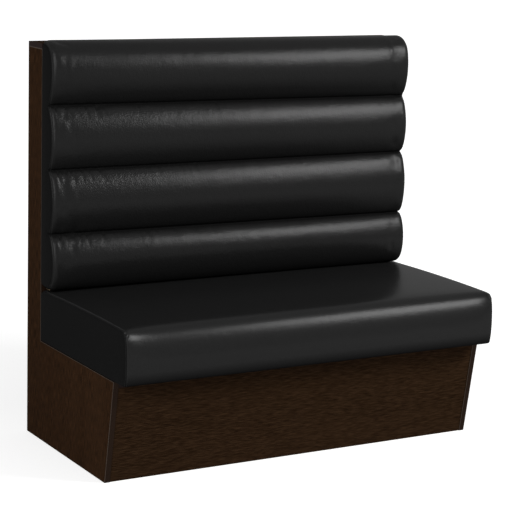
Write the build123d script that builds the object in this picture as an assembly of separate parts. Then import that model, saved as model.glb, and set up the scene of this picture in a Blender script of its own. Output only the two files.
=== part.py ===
from build123d import *
import math
import os

# A straight two-seat booth bench, in millimetres. X runs along the bench, Y from the sitter
# to the wall and Z up. The origin is on the floor, in the middle of the width and the depth.

# Overall form
overall_width = 1200.0
overall_depth = 650.0
carcass_height = 1150.0
pad_above_cap = 6.0
seat_height = 450.0
base_height = 295.0
upright_depth = 96.0
seat_overhang = 65.0
toe_set_back = 48.0

# Boards of the carcass
board = 16.0
edge_band = 1.0
kick_inset = 2.0
batten_width = 32.0
batten_height = 22.0
corner_block_side = 28.0
corner_block_foot = 40.0
corner_block_height = 150.0

# Dowels and wood screws, which repeat, so they have few sides
peg_sides = 8
dowel_radius = 4.0
dowel_length = 30.0
dowel_in_panel = 10.0
screw_radius = 2.0
screw_head_radius = 4.0
screw_head_depth = 2.5
screw_bite = 10.0
hole_slack = 0.05
back_dowel_shares = (0.08, 0.5, 0.92)
support_dowel_shares = (0.2, 0.8)
deck_dowel_shares = (0.3, 0.75)
kick_dowel_shares = (0.25, 0.75)
cap_screw_shares = (-0.8, -0.3, 0.3, 0.8)
batten_screw_shares = (0.25, 0.75)
deck_screw_shares = (0.45, 0.9)

# Cleats that carry the back pad
cleat_from_panel = 84.0
cleat_height = 70.0
cleat_thickness = 15.0
cleat_from_cap = 124.0
spacer_height = 60.0
spacer_above_seat = 92.0
cleat_screw_shares = (-0.8, -0.3, 0.3, 0.8)

# Levelling feet
foot_sides = 24
hexagon_sides = 6
foot_pad_radius = 20.0
foot_pad_height = 8.0
foot_pad_edge = 2.0
foot_collar_radius = 10.0
foot_collar_height = 8.0
foot_stem_radius = 5.0
foot_stem_length = 80.0
foot_stem_sunk = 12.0
foot_stem_edge = 1.0
foot_clearance = 0.5
foot_from_panel = 28.0
foot_from_kick = 64.0
foot_from_back = 60.0
bracket_steel = 3.0
bracket_width = 50.0
bracket_rise = 52.0
bracket_shelf = 50.0
bracket_foot = 45.0
nut_radius = 9.0
nut_height = 8.0
bracket_screw_length = 14.0
bracket_screw_height = 38.0
bracket_screw_spacing = 30.0

# Both pads
pad_gap = 0.3
cover_skin = 8.0
fabric = 1.5
tape_width = 50.0
tape_from_panel = 84.0
tape = 1.4
tape_depth_shares = (0.2, 0.8)

# Back pad: depths are measured forwards from its wall side
back_board_thickness = 12.0
back_board_margin = 40.0
seam_depth_low = 65.0
seam_depth_top = 40.0
back_top_depth = 48.0
channel_depth = 24.0
channel_middle_depth = 4.0
seam_height_shares = (0.23, 0.494, 0.747)
back_end_roll = 18.0
back_end_set_in = 16.0
back_top_roll = 38.0
back_low_roll = 28.0
back_rear_roll = 10.0

# Seat pad: depths are measured forwards from its wall side
seat_board_thickness = 15.0
seat_crown = 6.0
seat_end_crown = 3.0
seat_rear_drop = 7.0
seat_front_depth = 3.0
seat_front_roll = 30.0
seat_low_roll = 6.0
seat_rear_roll = 10.0
seat_end_roll = 24.0
seat_end_set_in = 5.0
air_hole_radius = 12.0
air_hole_shares = (-0.6, 0.6)

# How far a pad's outline is along its end roll, and how full it is along its length
end_roll_shares = (0.0, 0.25, 0.5, 0.75, 1.0)
middle_shares = (0.7, 0.35, 0.0)

# Places that several pieces share
half_width = overall_width / 2
inner_face = half_width - board
wall = overall_depth / 2
base_top_depth = overall_depth - seat_overhang
base_floor_depth = base_top_depth - toe_set_back
back_pad_top = carcass_height + pad_above_cap
upright_front = wall - upright_depth
cap_underside = carcass_height - board
deck_top = base_height - 2 * tape
deck_underside = deck_top - board
support_front = upright_front + cleat_thickness
cavity_front = support_front + board
cavity_back = wall - board
pad_wall_side = upright_front - pad_gap
back_pad_bottom = seat_height + pad_gap
seat_pad_bottom = base_height + pad_gap
seat_pad_length = pad_wall_side + overall_depth / 2
back_pad_rise = back_pad_top - back_pad_bottom
batten_bottom = deck_underside - batten_height
cleat_top = cap_underside - cleat_from_cap
cleat_end = inner_face - cleat_from_panel
tape_end = inner_face - tape_from_panel
stem_foot = foot_pad_height + foot_collar_height - foot_stem_sunk
front_slope = (base_top_depth - base_floor_depth) / base_height
front_lean = math.atan(front_slope)


def front_y(height, behind=0.0):
    """Y at a height on the leaning front plane, or so far behind that plane, square to it."""
    return wall - base_floor_depth - front_slope * height + behind / math.cos(front_lean)


def block(x_low, x_high, y_low, y_high, z_low, z_high):
    """A square block between two values on each axis."""
    middle = Pos((x_low + x_high) / 2, (y_low + y_high) / 2, (z_low + z_high) / 2)
    return middle * Box(x_high - x_low, y_high - y_low, z_high - z_low)


def side_extrusion(points, x_low, x_high):
    """A solid with an outline of (y, z) corners, from one X to another."""
    outline = make_face(Polyline(*points, close=True))
    return extrude(Plane.YZ.offset(x_low) * outline, amount=x_high - x_low)


def group(solids):
    """Separate solids kept together as one node."""
    return Compound(children=list(solids))


def bar(start, towards, radius, length, sides=peg_sides):
    """A straight bar with flat sides, from a point along a direction."""
    section = Plane(origin=start, z_dir=towards) * RegularPolygon(radius, sides)
    return extrude(section, amount=length)


def screw(start, towards, length, slack=0.0):
    """A countersunk wood screw from the top of its head inwards; slack widens it into its hole."""
    top = Plane(origin=start, z_dir=towards)
    sections = [top * RegularPolygon(screw_head_radius + slack, peg_sides)]
    for depth in (screw_head_depth, length + slack):
        sections.append(top.offset(depth) * RegularPolygon(screw_radius + slack, peg_sides))
    return loft(sections, ruled=True)


def screws(places, slack=0.0):
    """Every screw in a list of (start, direction, length)."""
    return [screw(start, towards, length, slack) for start, towards, length in places]


def meeting_point(start_a, along_a, start_b, along_b):
    """Where two lines in one plane cross."""
    share = (start_b - start_a).cross(along_b).Z / along_a.cross(along_b).Z
    return start_a + along_a * share


def inset_outline(points, insets):
    """Move each side of a clockwise outline inwards by its own inset, and give its new corners."""
    corners = [Vector(*point) for point in points]
    sides = []
    for start, end, inset in zip(corners, corners[1:] + corners[:1], insets):
        along = (end - start).normalized()
        sides.append((start + Vector(along.Y, -along.X) * inset, along))
    pairs = zip(sides[-1:] + sides[:-1], sides)
    inner = [meeting_point(*before, *after) for before, after in pairs]
    return [(corner.X, corner.Y) for corner in inner]


def band_outlines(points, insets):
    """The four-cornered outline of each edge band, mitred where two bands meet."""
    inner = inset_outline(points, insets)
    strips = []
    for place, inset in enumerate(insets):
        following = (place + 1) % len(points)
        if inset:
            strips.append([points[place], points[following], inner[following], inner[place]])
    return strips


def front_profile(z_low, z_high, behind_front, thickness):
    """A leaning slice between two heights, so far behind the front plane and so thick."""
    return [
        (front_y(z_low, behind_front), z_low),
        (front_y(z_high, behind_front), z_high),
        (front_y(z_high, behind_front + thickness), z_high),
        (front_y(z_low, behind_front + thickness), z_low),
    ]


# End panels: one L-shaped board each, banded on every edge but the floor and cap edges
end_panel_outline = [
    (wall, 0),
    (front_y(0), 0),
    (front_y(base_height), base_height),
    (upright_front, base_height),
    (upright_front, cap_underside),
    (wall, cap_underside),
]
end_panel_insets = (0, edge_band, edge_band, edge_band, 0, edge_band)


def dowel_places():
    """(y, z) of the dowels at each end of every board that stands between the end panels."""
    back = [(wall - board / 2, share * cap_underside) for share in back_dowel_shares]
    support_rise = cap_underside - deck_top
    support_y = support_front + board / 2
    support = [(support_y, deck_top + share * support_rise) for share in support_dowel_shares]
    deck_z = deck_top - board / 2
    deck = [(wall - share * base_top_depth, deck_z) for share in deck_dowel_shares]
    heights = [share * deck_underside for share in kick_dowel_shares]
    kick = [(front_y(height, kick_inset + board / 2), height) for height in heights]
    return {"back": back, "support": support, "deck": deck, "kick": kick}


def dowels(places, slack=0.0):
    """Dowels along X at both ends of the bench, or the holes that they fit in."""
    bars = []
    for side in (-1, 1):
        for y, z in places:
            start = (side * (inner_face + dowel_in_panel + slack), y, z)
            bars.append(bar(start, (-side, 0, 0), dowel_radius + slack, dowel_length + 2 * slack))
    return bars


def batten_screw_places():
    """Screws through the side battens into the end panels."""
    places = []
    reach = cavity_back - front_y(batten_bottom, kick_inset + board)
    for side in (-1, 1):
        for share in batten_screw_shares:
            start = (side * (inner_face - batten_width), cavity_back - share * reach,
                     batten_bottom + batten_height / 2)
            places.append((start, (side, 0, 0), batten_width + screw_bite))
    return places


def bracket_screw_places():
    """Screws that hold the foot brackets to the end panels."""
    places = []
    for side, y in foot_places():
        for step in (-1, 1):
            start = (side * (inner_face - bracket_steel), y + step * bracket_screw_spacing / 2,
                     bracket_foot + bracket_screw_height)
            places.append((start, (side, 0, 0), bracket_screw_length))
    return places


def end_panel(side):
    """The core board of one end panel, drilled for its dowels and screws."""
    x_low, x_high = sorted((side * half_width, side * inner_face))
    panel = side_extrusion(inset_outline(end_panel_outline, end_panel_insets), x_low, x_high)
    for places in dowel_places().values():
        panel -= dowels(places, hole_slack)
    panel -= screws(batten_screw_places(), hole_slack)
    panel -= screws(bracket_screw_places(), hole_slack)
    return panel


def end_panel_bands(side):
    """The edge bands of one end panel."""
    x_low, x_high = sorted((side * half_width, side * inner_face))
    strips = band_outlines(end_panel_outline, end_panel_insets)
    return group(side_extrusion(strip, x_low, x_high) for strip in strips)


# Front, back and middle boards of the carcass
def kick_panel():
    """The leaning front board, bevelled to stand flat on the floor and under the deck."""
    profile = front_profile(0, deck_underside, kick_inset, board)
    panel = side_extrusion(profile, -inner_face, inner_face)
    return panel - dowels(dowel_places()["kick"], hole_slack)


def back_panel():
    """The wall side, from the floor to the cap."""
    panel = block(-inner_face, inner_face, cavity_back, wall, 0, cap_underside)
    return panel - dowels(dowel_places()["back"], hole_slack)


def pad_support_board():
    """The board behind the back pad, set back by the thickness of the cleats."""
    panel = block(-inner_face, inner_face, support_front, cavity_front, deck_top, cap_underside)
    panel -= dowels(dowel_places()["support"], hole_slack)
    return panel - screws(cleat_screw_places(), hole_slack)


def upright_divider():
    """The stud that keeps the two boards of the upright apart."""
    top = cap_underside - batten_height
    return block(-board / 2, board / 2, cavity_front, cavity_back, deck_top, top)


def base_divider():
    """The middle board under the deck, cut to the lean of the kick panel."""
    behind = kick_inset + board
    outline = [
        (cavity_back, 0),
        (front_y(0, behind), 0),
        (front_y(deck_underside, behind), deck_underside),
        (cavity_back, deck_underside),
    ]
    return side_extrusion(outline, -board / 2, board / 2)


# Cap: a board across the top of the upright, screwed from below through a batten
cap_outline = [
    (-half_width, upright_front),
    (-half_width, wall),
    (half_width, wall),
    (half_width, upright_front),
]
cap_insets = (edge_band,) * len(cap_outline)


def cap_screw_places():
    """Screws up through the cap batten into the cap."""
    y = (cavity_front + cavity_back) / 2
    z = cap_underside - batten_height
    length = batten_height + screw_bite
    return [((share * inner_face, y, z), (0, 0, 1), length) for share in cap_screw_shares]


def cap_board():
    """The core of the cap."""
    outline = make_face(Polyline(*inset_outline(cap_outline, cap_insets), close=True))
    cap = extrude(Plane.XY.offset(cap_underside) * outline, amount=board)
    return cap - screws(cap_screw_places(), hole_slack)


def cap_bands():
    """The edge bands round the cap, mitred at its corners."""
    strips = []
    for strip in band_outlines(cap_outline, cap_insets):
        outline = make_face(Polyline(*strip, close=True))
        strips.append(extrude(Plane.XY.offset(cap_underside) * outline, amount=board))
    return group(strips)


def cap_batten():
    """The batten along the top of the upright's cavity."""
    z_low = cap_underside - batten_height
    batten = block(-inner_face, inner_face, cavity_front, cavity_back, z_low, cap_underside)
    return batten - screws(cap_screw_places(), hole_slack)


# Deck and the battens that carry it
def deck_outline():
    """Outline of the deck across its depth, with a front edge that follows the lean."""
    return [
        (cavity_back, deck_underside),
        (front_y(deck_underside, kick_inset), deck_underside),
        (front_y(deck_top, kick_inset), deck_top),
        (cavity_back, deck_top),
    ]


deck_insets = (0, edge_band, 0, 0)


def deck_screw_places():
    """Screws up through the side battens into the deck."""
    places = []
    reach = cavity_back - front_y(batten_bottom, kick_inset + board)
    for side in (-1, 1):
        for share in deck_screw_shares:
            start = (side * (inner_face - batten_width / 2), cavity_back - share * reach, batten_bottom)
            places.append((start, (0, 0, 1), batten_height + screw_bite))
    return places


def seat_deck():
    """The board under the seat pad."""
    deck = side_extrusion(inset_outline(deck_outline(), deck_insets), -inner_face, inner_face)
    deck -= dowels(dowel_places()["deck"], hole_slack)
    return deck - screws(deck_screw_places(), hole_slack)


def deck_front_band():
    """The edge band on the deck's front edge."""
    strip = band_outlines(deck_outline(), deck_insets)[0]
    return side_extrusion(strip, -inner_face, inner_face)


def deck_battens():
    """Side battens on the end panels, and front and back battens between them and the divider."""
    behind = kick_inset + board
    side_profile = [
        (cavity_back, batten_bottom),
        (front_y(batten_bottom, behind), batten_bottom),
        (front_y(deck_underside, behind), deck_underside),
        (cavity_back, deck_underside),
    ]
    front = front_profile(batten_bottom, deck_underside, behind, batten_width)
    holes = screws(batten_screw_places(), hole_slack) + screws(deck_screw_places(), hole_slack)
    solids = []
    for side in (-1, 1):
        x_low, x_high = sorted((side * inner_face, side * (inner_face - batten_width)))
        solids.append(side_extrusion(side_profile, x_low, x_high) - holes)
        x_low, x_high = sorted((side * (inner_face - batten_width), side * board / 2))
        solids.append(side_extrusion(front, x_low, x_high))
        rear_side = cavity_back - batten_width
        solids.append(block(x_low, x_high, rear_side, cavity_back, batten_bottom, deck_underside))
    return group(solids)


def corner_blocks():
    """Glued blocks behind the kick panel, in its corners with the end panels and the divider."""
    top = corner_block_foot + corner_block_height
    profile = front_profile(corner_block_foot, top, kick_inset + board, corner_block_side)
    solids = []
    for side in (-1, 1):
        for x, inwards in ((inner_face, -1), (board / 2, 1)):
            x_low, x_high = sorted((side * x, side * (x + inwards * corner_block_side)))
            solids.append(side_extrusion(profile, x_low, x_high))
    return group(solids)


# Bevelled cleats: one on the carcass and one on the pad, hooked together
def cleat_screw_places():
    """Screws through the carcass cleat and the spacer batten into the support board."""
    heights = (cleat_top - cleat_height / 2 - cleat_thickness / 2, spacer_middle())
    places = []
    for height in heights:
        for share in cleat_screw_shares:
            start = (share * cleat_end, upright_front, height)
            places.append((start, (0, 1, 0), cleat_thickness + screw_bite))
    return places


def spacer_middle():
    """Height of the spacer batten's middle."""
    return seat_height + spacer_above_seat + spacer_height / 2


def carcass_cleat():
    """The cleat on the support board, whose top edge slopes down towards the wall."""
    outline = [
        (upright_front, cleat_top - cleat_height),
        (upright_front, cleat_top),
        (support_front, cleat_top - cleat_thickness),
        (support_front, cleat_top - cleat_height),
    ]
    cleat = side_extrusion(outline, -cleat_end, cleat_end)
    return cleat - screws(cleat_screw_places(), hole_slack)


def spacer_batten():
    """The batten that the lower half of the back pad leans on."""
    z_low = spacer_middle() - spacer_height / 2
    z_high = spacer_middle() + spacer_height / 2
    batten = block(-cleat_end, cleat_end, upright_front, support_front, z_low, z_high)
    return batten - screws(cleat_screw_places(), hole_slack)


def pad_cleat_screw_places():
    """Screws through the pad's cleat into its board."""
    y = pad_wall_side + cleat_thickness
    z = cleat_top + cleat_height / 2 - cleat_thickness / 2
    length = cleat_thickness + back_board_thickness / 2
    return [((share * cleat_end, y, z), (0, -1, 0), length) for share in cleat_screw_shares]


def pad_cleat():
    """The cleat on the back pad, whose lower edge drops behind the carcass cleat."""
    front_low = cleat_top + pad_gap
    outline = [
        (pad_wall_side, front_low),
        (pad_wall_side, front_low - cleat_thickness + cleat_height),
        (pad_wall_side + cleat_thickness, front_low - cleat_thickness + cleat_height),
        (pad_wall_side + cleat_thickness, front_low - cleat_thickness),
    ]
    cleat = side_extrusion(outline, -cleat_end, cleat_end)
    return cleat - screws(pad_cleat_screw_places(), hole_slack)


# Levelling feet, each in a steel bracket on an end panel
def foot_places():
    """(side, y) of the four feet."""
    front = front_y(0, kick_inset + board) + foot_from_kick
    back = cavity_back - foot_from_back
    return [(side, y) for side in (-1, 1) for y in (front, back)]


def foot_bar(side, y, z, radius, length):
    """An upright bar on a foot's axis."""
    start = (side * (inner_face - foot_from_panel), y, z)
    return bar(start, (0, 0, 1), radius, length, foot_sides)


def foot_bracket(side, y):
    """A bent steel angle with a hole for the foot's stem."""
    outer = side * inner_face
    inner = side * (inner_face - bracket_steel)
    tip = side * (inner_face - bracket_shelf)
    shelf_top = bracket_foot + bracket_steel
    outline = [
        (outer, bracket_foot + bracket_rise),
        (outer, bracket_foot),
        (tip, bracket_foot),
        (tip, shelf_top),
        (inner, shelf_top),
        (inner, bracket_foot + bracket_rise),
    ]
    section = Plane.XZ.offset(-y - bracket_width / 2) * make_face(Polyline(*outline, close=True))
    bracket = extrude(section, amount=bracket_width)
    stem_hole = foot_bar(side, y, 0, foot_stem_radius + foot_clearance, foot_stem_length)
    return bracket - stem_hole - screws(bracket_screw_places(), hole_slack)


def foot_nut(side, y):
    """The weld nut on top of a bracket's shelf."""
    start = (side * (inner_face - foot_from_panel), y, bracket_foot + bracket_steel)
    nut = bar(start, (0, 0, 1), nut_radius, nut_height, hexagon_sides)
    return nut - foot_bar(side, y, 0, foot_stem_radius + hole_slack, foot_stem_length)


def foot_pad(side, y):
    """The foot, with its six-sided collar and the blind hole that holds its stem."""
    disc = foot_bar(side, y, 0, foot_pad_radius, foot_pad_height)
    disc = chamfer(disc.edges().group_by(Axis.Z)[-1], foot_pad_edge)
    start = (side * (inner_face - foot_from_panel), y, foot_pad_height)
    collar = bar(start, (0, 0, 1), foot_collar_radius, foot_collar_height, hexagon_sides)
    return disc + collar - foot_bar(side, y, stem_foot, foot_stem_radius + hole_slack, foot_stem_length)


def foot_stem(side, y):
    """The steel stem of a foot."""
    stem = foot_bar(side, y, stem_foot, foot_stem_radius, foot_stem_length)
    return chamfer(stem.edges().group_by(Axis.Z)[-1], foot_stem_edge)


# Outlines that both pads are lofted from
def pad_sections(outline, end_roll, end_set_in):
    """Faces across a pad from one end to the other: outline(set_in, fullness) at each place."""
    stations = []
    for share in end_roll_shares:
        turn = share * math.pi / 2
        along = half_width - end_roll + end_roll * math.sin(turn)
        stations.append((along, end_set_in * (1 - math.cos(turn)), 0.0))
    for share in middle_shares:
        stations.append((share * half_width, 0.0, 1 - share * share))
    stations.sort()
    places = [(-x, set_in, full) for x, set_in, full in reversed(stations) if x > 0] + stations
    return [Plane.YZ.offset(x) * outline(set_in, full) for x, set_in, full in places]


def rounded_at(face, corner, radius):
    """A face with one corner, given as (y, z), rounded."""
    vertex = face.vertices().sort_by_distance((*corner, 0))[0]
    return fillet(vertex, radius)


# Back pad
def channel_edges(set_in=0.0):
    """(y, z) of the back pad's lower front edge, of its seams from the bottom up, and of its top edge."""
    edges = []
    for share in (0.0, *seam_height_shares):
        depth = seam_depth_low + (seam_depth_top - seam_depth_low) * share
        height = back_pad_bottom + share * back_pad_rise
        edges.append((pad_wall_side - depth + set_in, height))
    edges[0] = (edges[0][0], back_pad_bottom + set_in)
    edges.append((pad_wall_side - back_top_depth + set_in, back_pad_top - set_in))
    return edges


def channel_arc(low, high, bulge):
    """The bulging front of one channel, from its lower edge to its upper one."""
    crown = ((low[0] + high[0]) / 2 - bulge, (low[1] + high[1]) / 2)
    return ThreePointArc(low, crown, high)


def back_pad_outline(set_in, fullness):
    """Outline across the back pad: four bulging channels in front of a flat back."""
    edges = channel_edges(set_in)
    bulge = channel_depth + fullness * channel_middle_depth
    arcs = [channel_arc(low, high, bulge) for low, high in zip(edges, edges[1:])]
    low_back = (pad_wall_side, edges[0][1])
    top_back = (pad_wall_side, edges[-1][1])
    face = make_face(Curve() + arcs + Polyline(edges[-1], top_back, low_back, edges[0]))
    low_room = pad_wall_side - edges[0][0] - back_rear_roll
    top_room = pad_wall_side - edges[-1][0] - back_rear_roll
    for corner, radius in (
        (low_back, back_rear_roll),
        (top_back, back_rear_roll),
        (edges[0], min(back_low_roll - set_in, low_room)),
        (edges[-1], min(back_top_roll - set_in, top_room)),
    ):
        face = rounded_at(face, corner, radius)
    return face


def back_board_blank():
    """The plywood board at the wall side of the back pad, before it is drilled."""
    x = half_width - back_board_margin
    z_low = back_pad_bottom + back_board_margin
    z_high = back_pad_top - back_board_margin
    return block(-x, x, pad_wall_side - back_board_thickness, pad_wall_side, z_low, z_high)


def back_board():
    """The plywood board, drilled for the screws of its cleat."""
    return back_board_blank() - screws(pad_cleat_screw_places(), hole_slack)


def foam_edges():
    """The channel edges, moved in to where the foam behind the cover begins and ends."""
    edges = [(y + cover_skin, z) for y, z in channel_edges()]
    edges[0] = (edges[0][0], back_pad_bottom + back_board_margin)
    edges[-1] = (edges[-1][0], back_pad_top - back_board_margin)
    return edges


def back_base_foam():
    """The foam slab on the board, thicker towards the seat."""
    x = half_width - back_board_margin
    front = pad_wall_side - back_board_thickness
    edges = foam_edges()
    outline = [(front, edges[0][1]), *edges, (front, edges[-1][1])]
    return side_extrusion(outline, -x, x)


def channel_foam():
    """One foam roll in each channel, in front of the base foam."""
    x = half_width - back_board_margin
    edges = foam_edges()
    rolls = []
    for low, high in zip(edges, edges[1:]):
        arc = channel_arc(low, high, channel_depth)
        section = make_face(Curve() + [arc, Line(high, low)])
        rolls.append(extrude(Plane.YZ.offset(-x) * section, amount=2 * x))
    return rolls


def back_cover():
    """The cover with its wadding, round the board and the foam, open at the wall side."""
    form = loft(pad_sections(back_pad_outline, back_end_roll, back_end_set_in), ruled=True)
    return form - back_board_blank() - back_base_foam() - channel_foam()


# Seat pad
def seat_pad_outline(set_in, fullness):
    """Outline across the seat pad: waterfall front, crowned top that falls away under the back pad."""
    front = pad_wall_side - seat_pad_length + set_in
    top = seat_height - set_in
    crown_end = pad_wall_side - seam_depth_low - channel_depth
    crown = seat_end_crown + seat_crown * fullness
    front_edge = front + seat_front_depth
    face_middle = (seat_pad_bottom + top) / 2
    front_arc = ThreePointArc((front_edge, seat_pad_bottom), (front, face_middle), (front_edge, top))
    top_middle = ((front_edge + crown_end) / 2, top + crown)
    top_arc = ThreePointArc((front_edge, top), top_middle, (crown_end, top))
    rear_top = (pad_wall_side, top - seat_rear_drop)
    rest = Polyline((crown_end, top), rear_top, (pad_wall_side, seat_pad_bottom),
                    (front_edge, seat_pad_bottom))
    face = make_face(Curve() + [front_arc, top_arc] + rest)
    for corner, radius in (
        ((front_edge, seat_pad_bottom), seat_low_roll),
        ((front_edge, top), seat_front_roll),
        (rear_top, seat_rear_roll),
    ):
        face = rounded_at(face, corner, radius)
    return face


def seat_block(z_low, z_high, margin):
    """A block inside the seat pad, so far in from its ends, front and back."""
    x = half_width - margin
    y_low = pad_wall_side - seat_pad_length + margin
    return block(-x, x, y_low, pad_wall_side - margin, z_low, z_high)


def seat_dust_cloth():
    """The thin cloth stapled under the seat board."""
    return seat_block(seat_pad_bottom, seat_pad_bottom + fabric, 2 * cover_skin)


def seat_board():
    """The plywood board under the foam, with air holes."""
    z_low = seat_pad_bottom + fabric
    z_high = z_low + seat_board_thickness
    panel = seat_block(z_low, z_high, cover_skin)
    middle = pad_wall_side - seat_pad_length / 2
    for share_x in air_hole_shares:
        for share_y in air_hole_shares:
            place = (share_x * half_width, middle + share_y * seat_pad_length / 2, z_low)
            panel -= bar(place, (0, 0, 1), air_hole_radius, seat_board_thickness, foot_sides)
    return panel


def seat_foam():
    """The foam block on the seat board, rounded over at the front."""
    z_low = seat_pad_bottom + fabric + seat_board_thickness
    foam = seat_block(z_low, seat_height - cover_skin, seat_end_roll)
    front_top = foam.edges().filter_by(Axis.X).group_by(Axis.Z)[-1].sort_by(Axis.Y)[0]
    return fillet(front_top, seat_front_roll - cover_skin)


def seat_cover():
    """The cover with its wadding, round the board and the foam."""
    form = loft(pad_sections(seat_pad_outline, seat_end_roll, seat_end_set_in), ruled=True)
    z_low = seat_pad_bottom + fabric
    board_space = seat_block(z_low, z_low + seat_board_thickness, cover_skin)
    return form - board_space - seat_dust_cloth() - seat_foam()


def tape_strips(z_low):
    """Two strips of hook or loop tape along the bench."""
    strips = []
    for share in tape_depth_shares:
        y = pad_wall_side - seam_depth_low - share * (base_floor_depth - upright_depth - seam_depth_low)
        strips.append(block(-tape_end, tape_end, y - tape_width / 2, y + tape_width / 2, z_low, z_low + tape))
    return group(strips)


corners = ("front_left", "rear_left", "front_right", "rear_right")

nodes = {
    "end_panel_left": end_panel(-1),
    "end_panel_right": end_panel(1),
    "end_panel_bands_left": end_panel_bands(-1),
    "end_panel_bands_right": end_panel_bands(1),
    "kick_panel": kick_panel(),
    "back_panel": back_panel(),
    "pad_support_board": pad_support_board(),
    "upright_divider": upright_divider(),
    "base_divider": base_divider(),
    "cap_board": cap_board(),
    "cap_bands": cap_bands(),
    "cap_batten": cap_batten(),
    "seat_deck": seat_deck(),
    "deck_front_band": deck_front_band(),
    "deck_battens": deck_battens(),
    "corner_blocks": corner_blocks(),
    "panel_dowels": group(dowel for places in dowel_places().values() for dowel in dowels(places)),
    "cap_screws": group(screws(cap_screw_places())),
    "deck_screws": group(screws(deck_screw_places())),
    "batten_screws": group(screws(batten_screw_places())),
    "carcass_cleat": carcass_cleat(),
    "spacer_batten": spacer_batten(),
    "cleat_screws": group(screws(cleat_screw_places())),
    "foot_brackets": group(foot_bracket(*place) for place in foot_places()),
    "foot_nuts": group(foot_nut(*place) for place in foot_places()),
    "foot_bracket_screws": group(screws(bracket_screw_places())),
    "deck_hook_strips": tape_strips(deck_top),
    "back_cover": back_cover(),
    "back_board": back_board(),
    "back_base_foam": back_base_foam(),
    "channel_foam": group(channel_foam()),
    "pad_cleat": pad_cleat(),
    "pad_cleat_screws": group(screws(pad_cleat_screw_places())),
    "seat_cover": seat_cover(),
    "seat_board": seat_board(),
    "seat_foam": seat_foam(),
    "seat_dust_cloth": seat_dust_cloth(),
    "seat_loop_strips": tape_strips(seat_pad_bottom - tape),
}
for corner, place in zip(corners, foot_places()):
    nodes["foot_pad_" + corner] = foot_pad(*place)
    nodes["foot_stem_" + corner] = foot_stem(*place)

os.makedirs("parts", exist_ok=True)
for name, shape in nodes.items():
    export_step(shape, "parts/" + name + ".step")
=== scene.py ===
import math

import bpy
import numpy as np
from mathutils import Matrix, Vector
from mathutils.bvhtree import BVHTree


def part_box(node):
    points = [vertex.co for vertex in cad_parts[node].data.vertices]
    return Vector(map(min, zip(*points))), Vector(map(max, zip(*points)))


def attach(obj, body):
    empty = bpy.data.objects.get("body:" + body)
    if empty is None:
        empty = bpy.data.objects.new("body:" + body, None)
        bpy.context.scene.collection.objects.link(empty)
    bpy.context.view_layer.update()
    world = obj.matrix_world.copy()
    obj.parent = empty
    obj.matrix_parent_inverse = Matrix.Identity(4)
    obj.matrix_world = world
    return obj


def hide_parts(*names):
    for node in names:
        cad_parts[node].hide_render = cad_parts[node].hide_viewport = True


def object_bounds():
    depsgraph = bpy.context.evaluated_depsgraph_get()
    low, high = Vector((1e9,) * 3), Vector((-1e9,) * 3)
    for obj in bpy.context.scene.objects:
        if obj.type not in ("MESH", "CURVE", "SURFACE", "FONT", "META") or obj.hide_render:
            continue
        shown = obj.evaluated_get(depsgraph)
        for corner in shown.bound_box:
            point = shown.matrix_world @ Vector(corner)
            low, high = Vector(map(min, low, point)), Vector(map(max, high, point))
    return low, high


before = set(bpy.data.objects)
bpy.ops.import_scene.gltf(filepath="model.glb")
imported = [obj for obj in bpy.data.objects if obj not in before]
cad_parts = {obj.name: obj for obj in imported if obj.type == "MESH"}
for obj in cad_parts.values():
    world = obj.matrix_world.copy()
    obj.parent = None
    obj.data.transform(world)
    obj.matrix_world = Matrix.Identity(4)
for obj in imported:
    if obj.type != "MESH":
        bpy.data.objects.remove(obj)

cad_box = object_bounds()
scene = bpy.context.scene


# The camera stands at the bench's front left, at standing eye height, with a long lens. Its place and its
# turns follow from the bench's straight edges. Its focal length is given in pixels of the picture.
photo_pixels = 520
focal_pixels = 1829.5
sensor_mm = 36.0
eye = Vector((-2.643, -4.508, 1.599))
yaw, pitch, roll = (math.radians(angle) for angle in (30.299, 11.546, 1.742))

ahead = Vector((math.sin(yaw) * math.cos(pitch), math.cos(yaw) * math.cos(pitch), -math.sin(pitch)))
level = Vector((math.cos(yaw), -math.sin(yaw), 0))
above = level.cross(ahead)
picture_right = level * math.cos(roll) + above * math.sin(roll)
picture_up = above * math.cos(roll) - level * math.sin(roll)
camera = bpy.data.objects.new("camera", bpy.data.cameras.new("camera"))
camera.data.lens = focal_pixels * sensor_mm / photo_pixels
camera.data.sensor_width = sensor_mm
camera.data.clip_end = 200
turned = Matrix((picture_right, picture_up, -ahead)).transposed().to_4x4()
camera.matrix_world = Matrix.Translation(eye) @ turned
scene.collection.objects.link(camera)
scene.camera = camera
scene.view_settings.view_transform = "Standard"


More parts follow.
